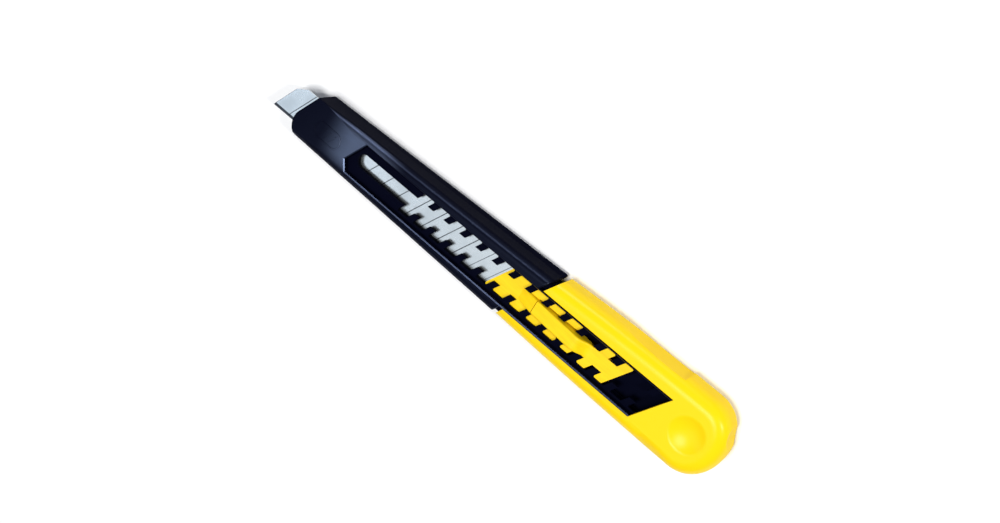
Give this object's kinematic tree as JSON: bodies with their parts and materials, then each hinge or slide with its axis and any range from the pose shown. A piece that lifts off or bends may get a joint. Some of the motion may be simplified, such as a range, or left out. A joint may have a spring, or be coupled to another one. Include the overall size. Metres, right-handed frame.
{
  "type": "snap-off utility knife",
  "caption": "Slim snap-off utility knife with a self-locking slider in a toothed window, a two-shell front housing and a pull-off rear sleeve.",
  "frame": {"origin": "on the flat back, under the blade's centre line, halfway along the body", "axes": "the knife lies on its back: +X along the blade from the nose to the tail, +Y towards the blade's back, +Z out of the window face"},
  "size_m": [0.1358, 0.0193, 0.0079],
  "materials": {
    "black_plastic": "semi-gloss moulded plastic, black with a slight navy cast",
    "yellow_plastic": "semi-gloss moulded plastic, bright yellow",
    "yellow_slider": "semi-gloss moulded plastic, bright yellow, slightly warmer",
    "blade_steel": "fine-ground carbon steel with a bright edge bevel"
  },
  "bodies": {
    "housing": {"face_shell": "black_plastic", "back_shell": "black_plastic"},
    "sleeve": {"rear_sleeve": "yellow_plastic"},
    "slider": {"slide_carriage": "yellow_slider", "blade": "blade_steel"},
    "lock": {"thumb_lock": "yellow_slider"}
  },
  "joints": [
    {"name": "blade_slide", "type": "slide", "parent": "housing", "child": "slider", "axis": [-1, 0, 0], "range_m": [-0.01, 0.05]},
    {"name": "thumb_press", "type": "hinge", "parent": "slider", "child": "lock", "pos_m": [0.01205, 0, 0.00515], "axis": [0, 1, 0], "range_deg": [0, 2.7], "stiffness_Nm_per_rad": 0.2, "springref_deg": -0.57},
    {"name": "sleeve_pull", "type": "slide", "parent": "housing", "child": "sleeve", "axis": [1, 0, 0], "range_m": [0, 0.045]}
  ]
}
